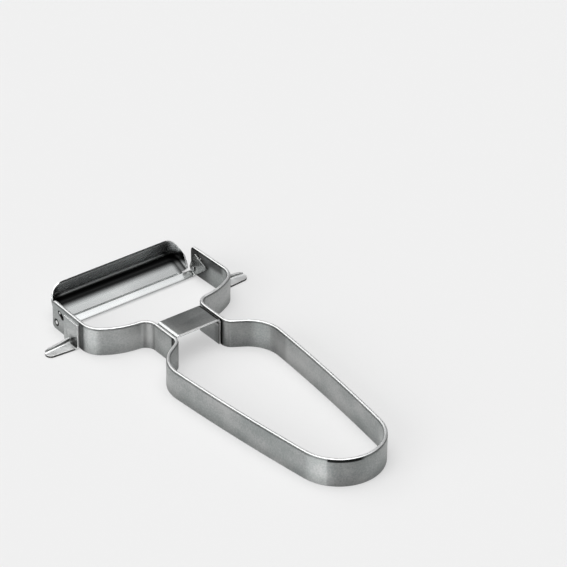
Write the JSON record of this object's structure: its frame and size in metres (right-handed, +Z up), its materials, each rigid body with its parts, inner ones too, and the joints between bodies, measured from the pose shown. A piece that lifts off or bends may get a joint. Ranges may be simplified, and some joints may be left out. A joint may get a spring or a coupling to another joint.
{
  "type": "vegetable peeler",
  "caption": "All-steel wide-blade vegetable peeler: bent strip loop handle, swivelling blade with a catch tray, and a small eye remover on each arm.",
  "frame": {"origin": "on the surface that the peeler lies on, under the middle of its overall box", "axes": "+X across the peeler to the right arm, +Y along the handle towards the blade and its catch tray, +Z up, square to the strip's lower edge"},
  "size_m": [0.0938, 0.1578, 0.0135],
  "materials": {
    "strip_steel": "stainless steel strip, polished to a soft shine, brighter along its rolled edges",
    "bridge_steel": "pressed stainless sheet, polished",
    "blade_steel": "thin stainless sheet, bright polished, with a ground cutting edge",
    "pin_steel": "stainless pins, staked flush",
    "eye_steel": "pressed stainless sheet, polished"
  },
  "bodies": {
    "handle": {"handle_strap": "strip_steel", "neck_bridge": "bridge_steel", "eye_remover_left": "eye_steel", "eye_remover_right": "eye_steel"},
    "swivel_blade": {"blade": "blade_steel", "pivot_rivet_left": "pin_steel", "pivot_rivet_right": "pin_steel", "stop_pin_left": "pin_steel", "stop_pin_right": "pin_steel"}
  },
  "joints": [
    {"name": "blade_swivel", "type": "hinge", "parent": "handle", "child": "swivel_blade", "pos_m": [0, 0.06787, 0.0035], "axis": [1, 0, 0], "range_deg": [0, 22]}
  ]
}
